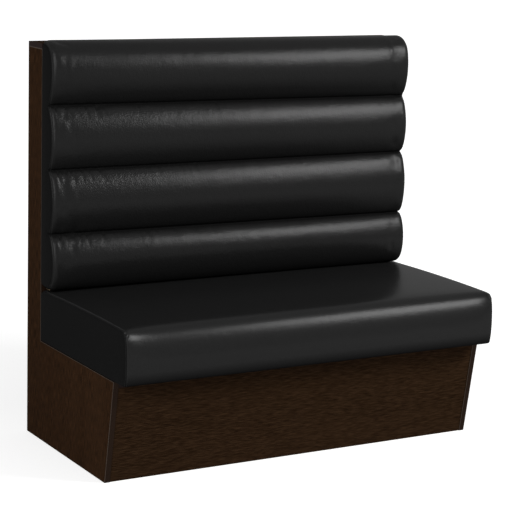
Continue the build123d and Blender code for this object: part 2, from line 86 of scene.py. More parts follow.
# The floor is a wide sheet of pale grey paper. A glow makes it white to the rays that see it. The glow is
# weaker near the bench, so that the bench keeps its shadow.
class Finish:
    """A node material on a Principled shader, whose patterns read Object coordinates."""

    def __init__(self, name, constants):
        self.material = bpy.data.materials.new(name)
        self.material.use_nodes = True
        self.tree = self.material.node_tree
        self.shader = self.tree.nodes["Principled BSDF"]
        for socket, value in constants.items():
            self.shader.inputs[socket].default_value = value
        self.place = self.node("TexCoord").outputs["Object"]

    def node(self, kind, inputs=None, **settings):
        """A new node with its settings, and with its inputs linked to sockets or set to values."""
        made = self.tree.nodes.new("ShaderNode" + kind)
        for name, value in settings.items():
            setattr(made, name, value)
        for name, value in (inputs or {}).items():
            if isinstance(value, bpy.types.NodeSocket):
                self.tree.links.new(value, made.inputs[name])
            else:
                made.inputs[name].default_value = value
        return made

    def noise(self, per_metre, detail=2.0, distortion=0.0):
        """Noise from 0 to 1 with so many cells a metre along X, Y and Z."""
        spread = self.node("Mapping", {"Vector": self.place, "Scale": per_metre})
        inputs = {"Vector": spread.outputs[0], "Scale": 1.0, "Detail": detail, "Distortion": distortion}
        return self.node("TexNoise", inputs).outputs["Fac"]

    def cells(self, per_metre, output="Distance"):
        """Irregular cells, so many a metre: the distance from each one's middle, or its colour."""
        spread = self.node("Mapping", {"Vector": self.place, "Scale": per_metre})
        inputs = {"Vector": spread.outputs[0], "Scale": 1.0}
        return self.node("TexVoronoi", inputs).outputs[output]

    def span(self, value, low, high, to_low=0.0, to_high=1.0):
        """A value carried from one range to another and kept inside it."""
        inputs = {"Value": value, "From Min": low, "From Max": high, "To Min": to_low, "To Max": to_high}
        return self.node("MapRange", inputs).outputs[0]

    def sums(self, operation, first, second):
        """One step of arithmetic."""
        return self.node("Math", {0: first, 1: second}, operation=operation).outputs[0]

    def mix(self, share, first, second):
        """A colour between two colours."""
        made = self.node("Mix", data_type="RGBA")
        for socket, value in ((made.inputs[0], share), (made.inputs[6], first), (made.inputs[7], second)):
            if isinstance(value, bpy.types.NodeSocket):
                self.tree.links.new(value, socket)
            else:
                socket.default_value = (*value, 1.0) if isinstance(value, tuple) else value
        return made.outputs[2]

    def feed(self, colour=None, roughness=None, relief=None, relief_depth=0.0005):
        """Link what varies over the surface to the shader."""
        if colour is not None:
            self.tree.links.new(colour, self.shader.inputs["Base Color"])
        if roughness is not None:
            self.tree.links.new(roughness, self.shader.inputs["Roughness"])
        if relief is not None:
            bump = self.node("Bump", {"Height": relief, "Distance": relief_depth})
            self.tree.links.new(bump.outputs[0], self.shader.inputs["Normal"])
        return self.material


def piece(name, points, faces, finish):
    """A new object from arrays of points and faces, with its place in its mesh."""
    mesh = bpy.data.meshes.new(name)
    mesh.from_pydata(points.tolist(), [], [list(face) for face in faces])
    mesh.shade_smooth()
    mesh.materials.append(finish)
    made = bpy.data.objects.new(name, mesh)
    scene.collection.objects.link(made)
    return made


def seen_as_background(tree):
    """1 on the rays that show the background: those to the camera, and those that gloss or glass send on."""
    path = tree.nodes.new("ShaderNodeLightPath").outputs
    shown = path["Is Camera Ray"]
    for ray in ("Is Glossy Ray", "Is Transmission Ray"):
        either = tree.nodes.new("ShaderNodeMath")
        either.operation = "MAXIMUM"
        tree.links.new(shown, either.inputs[0])
        tree.links.new(path[ray], either.inputs[1])
        shown = either.outputs[0]
    return shown


floor_reach, floor_drop = 40.0, 0.0005
glow_near, glow_far = (0.8, 0.60), (3.5, 0.92)
corners = np.array(((-1, -1, 0), (1, -1, 0), (1, 1, 0), (-1, 1, 0))) * floor_reach - (0, 0, floor_drop)
paper = Finish("pale_paper", {"Roughness": 0.9, "Specular IOR Level": 0.1, "Emission Color": (1, 1, 1, 1)})
mottle = paper.noise((0.7, 0.7, 0.7))
from_bench = paper.node("VectorMath", {0: paper.place}, operation="LENGTH").outputs["Value"]
glow = paper.span(from_bench, glow_near[0], glow_far[0], glow_near[1], glow_far[1])
glow = paper.sums("MULTIPLY", glow, seen_as_background(paper.tree))
paper.tree.links.new(glow, paper.shader.inputs["Emission Strength"])
floor = piece("floor", corners, np.array(((0, 1, 2, 3),)),
              paper.feed(colour=paper.mix(mottle, (0.54, 0.54, 0.54), (0.58, 0.58, 0.58))))


# The main lamp is a softbox at the bench's front right, which draws the highlights along the rolls. A wider
# one at the left lights the end panel. The world is a dim white, and full white where it is background.
def soft_lamp(name, at, towards, width, height, power):
    """A rectangular area lamp at a point, turned towards another."""
    light = bpy.data.lights.new(name, "AREA")
    light.shape = "RECTANGLE"
    light.size = width
    light.size_y = height
    light.energy = power
    lamp = bpy.data.objects.new(name, light)
    lamp.location = at
    lamp.rotation_euler = (Vector(at) - Vector(towards)).to_track_quat("Z", "Y").to_euler()
    scene.collection.objects.link(lamp)


soft_lamp("main_softbox", (2.2, -2.2, 2.45), (0.1, -0.1, 0.7), 1.3, 1.1, 122)
soft_lamp("left_softbox", (-2.9, -1.9, 1.9), (-0.3, 0.0, 0.5), 2.4, 2.4, 104)

sky_light = 0.3
world = bpy.data.worlds.new("studio")
world.use_nodes = True
scene.world = world
sky = world.node_tree.nodes["Background"]
sky.inputs["Color"].default_value = (1, 1, 1, 1)
sky_strength = world.node_tree.nodes.new("ShaderNodeMapRange")
sky_strength.inputs["To Min"].default_value = sky_light
world.node_tree.links.new(seen_as_background(world.node_tree), sky_strength.inputs["Value"])
world.node_tree.links.new(sky_strength.outputs[0], sky.inputs["Strength"])


# The end panels, the kick panel, the wall side and the cap are 16 mm chipboard faced with a dark
# wood-print laminate. Its grain runs upwards on the ends and the wall side, and along the bench on the
# kick panel and the cap. The boards are joined with dowels and glue.
def laminate(name, grain_axis, fleck):
    """Dark wood print: soft bands, pale flecks and short dark pores, all noise drawn out along the grain.

    The two copies' flecks differ in colour, redder and brighter on the upright grain than on the level one:
    lit and shaded copies of one laminate, with the difference in light painted into the flecks.
    """
    def drawn_out(across, along):
        per_metre = [across] * 3
        per_metre[grain_axis] = along
        return per_metre

    finish = Finish(name, {"Specular IOR Level": 0.0, "Coat Weight": 0.02, "Coat Roughness": 0.45})
    bands = finish.noise(drawn_out(16, 0.9), detail=3, distortion=0.4)
    flecks = finish.noise(drawn_out(800, 34), detail=1)
    pores = finish.noise(drawn_out(850, 42), detail=1)
    ground = finish.mix(finish.span(bands, 0.35, 0.65), (0.0102, 0.0049, 0.0021), (0.0148, 0.0072, 0.0033))
    flecked = finish.mix(finish.span(flecks, 0.42, 0.66, 0, 0.8), ground, fleck)
    colour = finish.mix(finish.span(pores, 0.40, 0.28, 0, 0.8), flecked, (0.0050, 0.0026, 0.0016))
    roughness = finish.span(flecks, 0.3, 0.7, 0.50, 0.62)
    return finish.feed(colour, roughness, pores, 0.00015)


def dress(finish, *names):
    """Give CAD nodes their finish."""
    for name in names:
        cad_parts[name].material_slots[0].material = finish


# The copy for the end panels and wall side has its flecks painted brighter, the copy for the kick panel and cap
# darker: painted light and shade on one laminate.
dress(laminate("upright_grain_laminate", 2, (0.0450, 0.0204, 0.0090)),
      "end_panel_left", "end_panel_right", "back_panel")
dress(laminate("level_grain_laminate", 0, (0.0375, 0.0200, 0.0100)), "kick_panel", "cap_board")


# The edge bands are 1 mm plastic strips in a mauver brown than the laminate, ironed on to every edge that
# shows and trimmed flush. A thin pale line is painted along one trimmed corner of each end panel's bands and
# along the cap bands' joint with the next board: a painted highlight of the edges that catch the light.
def band_finish(name, dark, pale, highlight_axis, highlight_at, highlight_half):
    """Plastic edge band: fine streaks, and a pale painted highlight where the trimmed corner or the joint lies.
    """
    finish = Finish(name, {"Specular IOR Level": 0.0, "Coat Weight": 0.08, "Coat Roughness": 0.4})
    streaks = finish.noise((500, 500, 40))
    colour = finish.mix(streaks, dark, pale)
    # The painted highlight: the colour turns pale within the half-width either side of the corner or joint.
    place = finish.node("SeparateXYZ", {0: finish.place}).outputs[highlight_axis]
    near = finish.sums("ABSOLUTE", finish.sums("SUBTRACT", place, highlight_at), 0.0)
    colour = finish.mix(finish.span(near, highlight_half, highlight_half + 0.0002, 0.8, 0), colour, (0.062, 0.049, 0.040))
    return finish.feed(colour, finish.span(streaks, 0.3, 0.7, 0.42, 0.52), streaks, 0.0001)


end_x = cad_box[1][0]
inner_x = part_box("kick_panel")[1][0]
cap_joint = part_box("cap_bands")[0][2]
# Half-widths of the painted highlight at the bands' trimmed corners and at the cap's joint.
trim_highlight_half, joint_highlight_half = 0.0009, 0.0022
band_dark, band_pale = (0.0100, 0.0053, 0.0031), (0.0154, 0.0082, 0.0049)
dress(band_finish("left_edge_band", band_dark, band_pale, 0, -end_x, trim_highlight_half), "end_panel_bands_left")
dress(band_finish("right_edge_band", band_dark, band_pale, 0, inner_x, trim_highlight_half), "end_panel_bands_right")
dress(band_finish("cap_edge_band", (0.0095, 0.0048, 0.0042), (0.0140, 0.0075, 0.0066), 2, cap_joint, joint_highlight_half),
      "cap_bands", "deck_front_band")


# Inside the carcass, the deck, the board behind the back pad and the dividers are bare chipboard. They are
# cut to size, and held by dowels, screws and battens.
def chipboard():
    """Pressed wood chips: small and large cells of beige and brown, with a rough face."""
    finish = Finish("bare_chipboard", {"Roughness": 0.85, "Specular IOR Level": 0.2})
    small = finish.cells((420, 300, 420), output="Color")
    large = finish.noise((60, 60, 60), detail=3)
    tone = finish.node("SeparateColor", {0: small}).outputs[0]
    chips = finish.mix(tone, (0.36, 0.24, 0.13), (0.60, 0.45, 0.28))
    return finish.feed(finish.mix(finish.span(large, 0.3, 0.7, 0, 0.5), chips, (0.45, 0.31, 0.18)),
                       relief=tone, relief_depth=0.0002)


dress(chipboard(), "pad_support_board", "upright_divider", "base_divider", "seat_deck")


# The battens under the deck and the cap, and the corner blocks, are planed pine. They join the boards at
# right angles: the battens with screws and the blocks with glue.
def timber(name, grain_axis, dark, pale, across, along):
    """Planed wood: rings and fibres, both noise drawn out along the grain, so many a metre across and along."""
    finish = Finish(name, {"Specular IOR Level": 0.3})
    ring_scale = [across] * 3
    ring_scale[grain_axis] = along
    fibre_scale = [across * 9] * 3
    fibre_scale[grain_axis] = along * 5
    rings = finish.noise(ring_scale, detail=2, distortion=1.5)
    fibres = finish.noise(fibre_scale)
    colour = finish.mix(finish.span(rings, 0.35, 0.65), dark, pale)
    colour = finish.mix(finish.span(fibres, 0.4, 0.2, 0, 0.35), colour, dark)
    return finish.feed(colour, finish.span(fibres, 0.2, 0.8, 0.55, 0.75), fibres, 0.0002)


pine_dark, pine_pale = (0.52, 0.32, 0.15), (0.74, 0.54, 0.31)
dress(timber("pine_batten", 0, pine_dark, pine_pale, 90, 2.5), "cap_batten", "deck_battens")
dress(timber("pine_block", 2, pine_dark, pine_pale, 90, 2.5), "corner_blocks")


# The dowels are fluted beech pegs, glued in holes that are bored where one board meets another. No face of
# the finished bench shows them.
dress(timber("beech_dowel", 0, (0.50, 0.33, 0.18), (0.66, 0.47, 0.29), 300, 20), "panel_dowels")


# The two bevelled cleats, the spacer batten and the boards inside both pads are birch plywood. The cleats
# and the batten are screwed on, and the covers are stapled round the boards.
ply = 0.0015


def plywood(name, thickness_axis):
    """Plywood: long face grain, and layers across its thickness that show at the edges."""
    finish = Finish(name, {"Specular IOR Level": 0.3})
    grain = finish.noise([3 if axis == 0 else 130 for axis in range(3)], detail=3, distortion=0.6)
    axis_place = finish.node("SeparateXYZ", {0: finish.place}).outputs[thickness_axis]
    layer = finish.sums("PINGPONG", axis_place, ply)
    faces = finish.mix(finish.span(grain, 0.3, 0.7), (0.56, 0.39, 0.22), (0.72, 0.54, 0.34))
    colour = finish.mix(finish.span(layer, ply * 0.55, ply * 0.45, 0, 0.45), faces, (0.38, 0.24, 0.12))
    return finish.feed(colour, finish.span(grain, 0.2, 0.8, 0.6, 0.75), grain, 0.0002)


dress(plywood("upright_plywood", 1), "carcass_cleat", "spacer_batten", "pad_cleat", "back_board")
dress(plywood("level_plywood", 2), "seat_board")


# Screws, foot brackets, weld nuts and foot stems are zinc-plated steel, the screws with a yellow
# passivation. The brackets are bent from sheet and screwed on inside the base.
def plated(name, dark, pale):
    """Zinc plate: faint crystal cells in the colour, and fine scratches in the gloss."""
    finish = Finish(name, {"Metallic": 1.0})
    crystals = finish.node("SeparateColor", {0: finish.cells((180, 180, 180), output="Color")}).outputs[0]
    scratches = finish.noise((900, 60, 900))
    return finish.feed(finish.mix(crystals, dark, pale), finish.span(scratches, 0.3, 0.7, 0.28, 0.45),
                       scratches, 0.00005)


dress(plated("bracket_zinc", (0.52, 0.53, 0.54), (0.66, 0.67, 0.68)), "foot_brackets", "foot_nuts")
dress(plated("screw_zinc", (0.60, 0.53, 0.36), (0.74, 0.67, 0.47)), "cap_screws", "deck_screws",
      "batten_screws", "cleat_screws", "foot_bracket_screws", "pad_cleat_screws")


# The four levelling feet are moulded black nylon pads on steel stems. Each stem screws into the weld nut of
# its bracket, and is turned by hand to level the bench.
def nylon():
    """Moulded nylon: almost even black with a fine sparked texture."""
    finish = Finish("black_nylon", {"Specular IOR Level": 0.4})
    texture = finish.noise((1400, 1400, 1400))
    return finish.feed(finish.mix(texture, (0.018, 0.018, 0.018), (0.034, 0.034, 0.035)),
                       finish.span(texture, 0.3, 0.7, 0.42, 0.6), texture, 0.0001)


foot_corners = ("front_left", "rear_left", "front_right", "rear_right")
dress(nylon(), *("foot_pad_" + corner for corner in foot_corners))
dress(plated("stem_zinc", (0.55, 0.55, 0.54), (0.68, 0.68, 0.67)),
      *("foot_stem_" + corner for corner in foot_corners))


# The seat pad is held on the deck by two strips of woven black hook and loop tape. The hooks are stapled to
# the deck, and the loops to the pad.
def tape_cloth():
    """Hook and loop tape: rows of tiny loops a millimetre apart on a black ground."""
    finish = Finish("hook_and_loop_tape", {"Roughness": 0.9, "Specular IOR Level": 0.2})
    loops = finish.cells((1000, 1000, 1000))
    return finish.feed(finish.mix(finish.span(loops, 0.1, 0.6), (0.055, 0.055, 0.058), (0.012, 0.012, 0.013)),
                       relief=loops, relief_depth=0.0006)


dress(tape_cloth(), "deck_hook_strips", "seat_loop_strips")


# Under the seat board a thin black cloth keeps the dust out. It is pressed from crossing fibres, not woven,
# and stapled on.
def dust_cloth():
    """Non-woven cloth: crossing fine fibres, embossed with a grid of small points."""
    finish = Finish("non_woven_cloth", {"Roughness": 0.95, "Specular IOR Level": 0.15})
    one_way = finish.noise((60, 900, 60))
    other_way = finish.noise((900, 60, 60))
    fibres = finish.sums("MAXIMUM", one_way, other_way)
    points = finish.cells((400, 400, 400))
    colour = finish.mix(finish.span(fibres, 0.45, 0.75), (0.012, 0.012, 0.013), (0.040, 0.040, 0.042))
    return finish.feed(colour, relief=finish.sums("ADD", fibres, points), relief_depth=0.0003)


dress(dust_cloth(), "seat_dust_cloth")


# Inside both covers is cream polyurethane foam, cut and glued to the boards: a block in the seat, and a slab
# under the four rolls in the back.
def foam():
    """Open-cell foam: millimetre cells in a cream colour."""
    finish = Finish("cream_foam", {"Roughness": 0.95, "Specular IOR Level": 0.1})
    pores = finish.cells((900, 900, 900))
    shade = finish.noise((12, 12, 12))
    ground = finish.mix(shade, (0.72, 0.66, 0.48), (0.82, 0.77, 0.60))
    return finish.feed(finish.mix(finish.span(pores, 0.5, 0.1, 0, 0.5), ground, (0.45, 0.40, 0.27)),
                       relief=pores, relief_depth=0.0005)


cream_foam = foam()
dress(cream_foam, "seat_foam", "back_base_foam")


# The seat cover is black vinyl with a fine leather grain over wadding: one panel for the front and the top,
# sewn with a double row of stitches to a boxing strip at each end, pulled over the foam and stapled under.
def vinyl(name, shine, dark, pale, crinkled, painted_shade=None):
    """Leather-grain vinyl: pebbled cells, fine crinkles, wrinkles a few centimetres apart and broad dents.

    The relief is their sum, each times its height in tenths of a millimetre, and the gloss takes only the
    crinkled share of it. The painted shade is a coordinate whose upward part is read, its low and its high
    end, and the shares of gloss and of colour that are left at the low end: towards the low end the vinyl is
    painted darker and duller, a painted shade.
    """
    finish = Finish(name, {"Specular IOR Level": 0.0, "Coat Roughness": 0.27})
    pebbles = finish.cells((700, 700, 700))
    crinkle = finish.noise((230, 230, 230), detail=3)
    wrinkles = finish.noise((62, 62, 62))
    dents = finish.noise((17, 17, 17))
    colour = finish.mix(crinkle, (dark,) * 3, (pale,) * 3)
    finish.shader.inputs["Coat Weight"].default_value = shine
    if painted_shade:
        # Painted shade: towards the low end the colour is mixed towards black and the coat weight drops.
        coordinate, low, high, gloss_left, colour_left = painted_shade
        upwards = finish.node("SeparateXYZ", {0: finish.node("TexCoord").outputs[coordinate]}).outputs[2]
        colour = finish.mix(finish.span(upwards, low, high, 1 - colour_left, 0), colour, (0, 0, 0))
        gloss = finish.span(upwards, low, high, shine * gloss_left, shine)
        finish.tree.links.new(gloss, finish.shader.inputs["Coat Weight"])
    roughness = finish.span(dents, 0.3, 0.7, 0.50, 0.60)
    fine = finish.sums("ADD", finish.sums("MULTIPLY", pebbles, 0.3), finish.sums("MULTIPLY", crinkle, 6.5))
    broad = finish.sums("ADD", finish.sums("MULTIPLY", wrinkles, 4.5), finish.sums("MULTIPLY", dents, 11.0))
    height, tenth = finish.sums("ADD", fine, broad), 0.0001
    coat_relief = finish.node("Bump", {"Height": height, "Distance": tenth * crinkled})
    finish.tree.links.new(coat_relief.outputs[0], finish.shader.inputs["Coat Normal"])
    return finish.feed(colour, roughness, height, tenth)


# A darker, much less glossy copy of the vinyl: a painted shade, on the ends of both pads and in the back's
# grooves.
shaded_copy_vinyl = vinyl("black_vinyl_shaded_copy", 0.025, 0.0034, 0.0064, 0.6)
# The seat's vinyl is painted paler than the back's, a painted light on its top. Over its lowest 34 mm it is
# painted darker and duller, a painted shade along the bottom of the front.
seat_vinyl = vinyl("black_vinyl_seat", 0.18, 0.0054, 0.0098, 0.45, ("Object", 0.296, 0.330, 0.1, 0.4))


def on_outline(corner_points, shares, cuts):
    """Points round a closed outline of (y, z) pieces, with rounded corners.

    Each piece is a polyline from one corner to the next, and shares says how far along it its points lie.
    Each cut is a length before the corner and one after it. Within them, a point moves on to the quadratic
    curve whose end points are the two ends of the cut and whose middle control point is the corner.
    """
    lengths = [np.r_[0, np.cumsum(np.hypot(*np.diff(line, axis=0).T))] for line in corner_points]
    starts = np.cumsum([0] + [length[-1] for length in lengths])
    whole = starts[-1]
    along = np.concatenate([start + share * length[-1] for start, share, length in zip(starts, shares, lengths)])
    path_s = np.concatenate([start + length for start, length in zip(starts, lengths)])
    path = np.concatenate(corner_points)

    def at(s):
        s = np.mod(s, whole)
        return np.stack([np.interp(s, path_s, path[:, axis]) for axis in (0, 1)], -1)

    points = at(along)
    for start, line, (cut_before, cut_after) in zip(starts, corner_points, cuts):
        offset = np.mod(along - start + whole / 2, whole) - whole / 2
        inside = (offset > -cut_before) & (offset < cut_after)
        t = ((offset[inside] + cut_before) / (cut_before + cut_after))[:, None]
        before, after = at(start - cut_before), at(start + cut_after)
        points[inside] = (1 - t) ** 2 * before + 2 * t * (1 - t) * line[0] + t**2 * after
    return points


def pad_shell(loops, xs, across, upright):
    """Points and faces of a closed pad: a row of closed outlines along X, filled in at both ends.

    Round each outline there are four runs: the first and third have `across` steps, and the second and
    fourth `upright` steps. An end is filled by blending its four runs: the sum of the two straight blends
    between opposite runs, less the blend between its four corners.
    """
    stations, around = loops.shape[:2]
    wrap = np.concatenate([np.broadcast_to(xs[:, None, None], (stations, around, 1)), loops], -1).reshape(-1, 3)
    number = np.arange(stations * around).reshape(stations, around)
    ring = np.c_[number, number[:, :1]]
    faces = [np.stack([ring[:-1, :-1], ring[1:, :-1], ring[1:, 1:], ring[:-1, 1:]], -1).reshape(-1, 4)]
    points = [wrap]
    for station, outwards in ((0, -1), (stations - 1, 1)):
        loop = ring[station]
        first = loop[:across + 1]
        second = loop[across:across + upright + 1]
        third = loop[across + upright:2 * across + upright + 1][::-1]
        fourth = loop[2 * across + upright:][::-1]
        s = np.linspace(0, 1, across + 1)[None, 1:-1, None]
        t = np.linspace(0, 1, upright + 1)[1:-1, None, None]
        sides = (1 - s) * wrap[fourth][1:-1, None] + s * wrap[second][1:-1, None]
        ends = (1 - t) * wrap[first][None, 1:-1] + t * wrap[third][None, 1:-1]
        low = (1 - s) * wrap[first[0]] + s * wrap[first[-1]]
        high = (1 - s) * wrap[third[0]] + s * wrap[third[-1]]
        inner = sides + ends - ((1 - t) * low + t * high)
        grid = np.empty((upright + 1, across + 1), int)
        grid[0], grid[-1], grid[:, 0], grid[:, -1] = first, third, fourth, second
        grid[1:-1, 1:-1] = sum(map(len, points)) + np.arange(inner.size // 3).reshape(inner.shape[:2])
        points.append(inner.reshape(-1, 3))
        quads = np.stack([grid[:-1, :-1], grid[:-1, 1:], grid[1:, 1:], grid[1:, :-1]], -1).reshape(-1, 4)
        faces.append(quads if outwards < 0 else quads[:, ::-1])
    return np.concatenate(points), np.concatenate(faces), number


def along_bench(end_turn, columns):
    """X of every outline, how far it is set in, and how full it is: 1 at the middle, 0 at the ends.

    From end to end, X is the average of a straight line and a sine, so the columns are closest at the ends.
    """
    half = cad_box[1][0]
    even = np.linspace(-1, 1, columns + 1)[1:-1]
    middle = (even + np.sin(even * np.pi / 2)) / 2 * (half - end_turn[0, 0])
    right = half - end_turn[:, 0]
    xs = np.r_[-right[::-1], middle, right]
    set_in = np.r_[end_turn[::-1, 1], np.zeros(len(middle)), end_turn[:, 1]]
    return xs, set_in, 1 - (xs / half) ** 2


def read(items, value):
    """A value of every vertex or face of a mesh as an array: its place, its normal or its middle."""
    flat = np.empty(len(items) * 3)
    items.foreach_get(value, flat)
    return flat.reshape(-1, 3)


def write_points(mesh, points):
    """Put an array of vertices back into a mesh."""
    mesh.vertices.foreach_set("co", points.ravel())
    mesh.update()


swell_frames = 20
swell_pressure = 4.0


def swell(made, held, glued, furthest):
    """Blow the cover up against its seams as cloth, and keep each point within a distance of where it was.

    Held points stay where they are. The others are held as softly as `glued` says, from 0, free, to 1.
    """
    resting = read(made.data.vertices, "co")
    sewn = made.vertex_groups.new(name="sewn")
    sewn.add(range(len(resting)), glued, "REPLACE")
    sewn.add(held.tolist(), 1.0, "REPLACE")
    cloth = made.modifiers.new("cloth", "CLOTH")
    cloth.settings.vertex_group_mass = "sewn"
    cloth.settings.use_pressure = True
    cloth.settings.uniform_pressure_force = swell_pressure
    cloth.settings.effector_weights.gravity = 0
    cloth.settings.tension_stiffness = 40
    cloth.settings.compression_stiffness = 40
    cloth.settings.bending_stiffness = 4
    cloth.point_cache.frame_start = 1
    cloth.point_cache.frame_end = swell_frames
    for step in range(1, swell_frames + 1):
        scene.frame_set(step)
    blown = read(made.evaluated_get(bpy.context.evaluated_depsgraph_get()).data.vertices, "co")
    made.modifiers.remove(cloth)
    made.vertex_groups.remove(sewn)
    scene.frame_set(1)
    move = blown - resting
    distance = np.linalg.norm(move, axis=1, keepdims=True)
    write_points(made.data, resting + move * np.minimum(1, furthest / np.maximum(distance, 1e-9)))


def subdivided(made, seams):
    """Divide every face of a piece once, smoothly but for a sharp valley along its seams, and apply it.

    Each seam is a row of vertex numbers. An edge is known by the two numbers of its ends.
    """
    coarse = made.data
    amount = len(coarse.vertices)
    ends = np.empty(len(coarse.edges) * 2, np.int32)
    coarse.edges.foreach_get("vertices", ends)
    sewn_ends = np.concatenate([np.stack([row[:-1], row[1:]], -1) for row in seams])
    sewn = np.isin(np.sort(ends.reshape(-1, 2).astype(int), 1) @ (amount, 1), np.sort(sewn_ends, 1) @ (amount, 1))
    coarse.attributes.new("crease_edge", "FLOAT", "EDGE").data.foreach_set("value", sewn.astype(np.float32))
    coarse.attributes.new("sharp_edge", "BOOLEAN", "EDGE").data.foreach_set("value", sewn)
    smooth = made.modifiers.new("smooth", "SUBSURF")
    smooth.levels = smooth.render_levels = 1
    mesh = bpy.data.meshes.new_from_object(made.evaluated_get(bpy.context.evaluated_depsgraph_get()))
    made.modifiers.remove(smooth)
    spare = made.data
    made.data = mesh
    bpy.data.meshes.remove(spare)
    mesh.name = made.name
    mesh.shade_smooth()


def bell(distance, width):
    """A bell curve: 1 at no distance, and almost 0 at twice the width."""
    return np.exp(-(distance / width) ** 2)


def seam_groove(from_seam, depth):
    """How far a cover is drawn in beside an end seam: a narrow bell, less a lower one over the folded hem."""
    groove_width = 0.0014
    hem_height, hem_place, hem_width = 0.0003, 0.003, 0.0018
    return depth * bell(from_seam, groove_width) - hem_height * bell(from_seam - hem_place, hem_width)


def folds(across, along, amount, first, last, seed, sizes):
    """Small folds that run out of a seam: a sum of bells across each fold that fade with its length.

    `across` is each point's place along the seam and `along` its distance from it. Each fold has a seeded
    place, depth, width, length and slant, drawn between the least and the most in `sizes`. Only points within
    reach of the seam are worked out, and a fold starts over the first two millimetres.
    """
    start = 0.002
    rng = np.random.default_rng(seed)
    place = np.sort(rng.uniform(first, last, amount))
    depth, width, length, slant = (rng.uniform(low, high, amount) for low, high in sizes)
    near = (along > -start) & (along < 2 * sizes[2][1])
    shift = across[near, None] - place - slant * along[near, None]
    fade = np.exp(-np.maximum(along[near, None], 0) / length) * np.clip(along[near, None] / start + 1, 0, 1)
    height = np.zeros(len(across))
    height[near] = (depth * bell(shift, width) * fade).sum(1)
    return height


def second_finish(mesh, chosen):
    """Give the chosen faces of a mesh its second finish."""
    mesh.polygons.foreach_set("material_index", chosen.astype(np.int32))


stitch_pitch, stitch_length, stitch_thickness = 0.0055, 0.0042, 0.0013


def stitch_row(name, pad, path, offset):
    """A row of stitches lying on a cover beside a seam.

    Each stitch is a spindle: rings of six points whose radius is the square root of one minus the square of
    the distance from its middle, closed with a face at each end. It lies along the path, moved sideways by
    the offset, on the nearest point of the cover.
    """
    cover = BVHTree.FromObject(pad, bpy.context.evaluated_depsgraph_get())
    step = np.r_[0, np.cumsum(np.linalg.norm(np.diff(path, axis=0), axis=1))]

    def on_path(s):
        return np.stack([np.interp(s, step, path[:, axis]) for axis in range(3)], -1)

    def unit(vectors):
        return vectors / np.linalg.norm(vectors, axis=1, keepdims=True)

    def on_cover(near):
        found = [cover.find_nearest(point) for point in near.tolist()]
        return (np.array([values[part] for values in found]) for part in (0, 1))

    centre_s = np.arange(stitch_pitch, step[-1] - stitch_pitch, stitch_pitch)
    centre = on_path(centre_s)
    along = unit(on_path(centre_s + stitch_pitch / 2) - centre)
    outwards = tuple(on_cover(centre))[1]
    centre, outwards = on_cover(centre + unit(np.cross(along, outwards)) * offset)
    sideways = unit(np.cross(along, outwards))
    frames = np.stack([along, sideways, np.cross(sideways, along)], 1)

    rings = np.array((-1, -0.8, 0, 0.8, 1))
    round_each = 6
    radius = np.sqrt(np.maximum(1 - rings**2, 0.02))[:, None] * stitch_thickness / 2
    turn = np.linspace(0, 2 * np.pi, round_each + 1)[:-1]
    spindle = (rings[:, None] * stitch_length / 2, radius * np.cos(turn), radius * np.sin(turn))
    points = centre[:, None] + np.stack(np.broadcast_arrays(*spindle), -1).reshape(-1, 3) @ frames

    in_one = len(rings) * round_each
    k = np.arange(in_one).reshape(-1, round_each)
    low, high = k[:-1], k[1:]
    quads = np.stack([low, high, np.roll(high, -1, 1), np.roll(low, -1, 1)], -1).reshape(-1, 4)
    ends = np.stack([k[0], k[-1, ::-1]])
    start = in_one * np.arange(len(centre))[:, None, None]
    faces = (quads + start).reshape(-1, 4).tolist() + (ends + start).reshape(-1, round_each).tolist()
    return piece(name, points.reshape(-1, 3), faces, thread)


def thread_finish():
    """Bonded black thread: a colour that varies finely, as its twist does."""
    finish = Finish("black_thread", {"Roughness": 0.6, "Specular IOR Level": 0.05})
    twist = finish.noise((2500, 2500, 2500), detail=1)
    return finish.feed(finish.mix(twist, (0.007, 0.007, 0.007), (0.020, 0.020, 0.020)))


thread = thread_finish()

seat_low, seat_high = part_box("seat_cover")
seat_wall = seat_high[1]
seat_bottom = seat_low[2]
seat_front = -0.3215
seat_edge_height = 0.4475
seat_crown = 0.008
seat_front_swell = 0.0095
seat_front_lean = 0.0040
seat_crown_end = seat_wall - 0.089
seat_rear_top = 0.446
seat_rear_cut, seat_lower_cut, seat_under_cut = (0.004, 0.004), (0.003, 0.003), (0.010, 0.010)
seat_corner_cut, seat_middle_cut = np.array((0.024, 0.018)), np.array((0.084, 0.042))
seat_roll_reach = 0.030
# How the seat's ends turn, in millimetres: how far each outline is from the end, and how far it is set in.
seat_end_turn = np.array(((16, 0), (12.5, 0.1), (9.5, 0.3), (7.3, 0.6),
                          (5.2, 1.2), (2.8, 3.0), (0.9, 5.6), (0, 9))) / 1000
seat_seam_station = 4
seat_across, seat_upright = 48, 18
seat_columns = 140


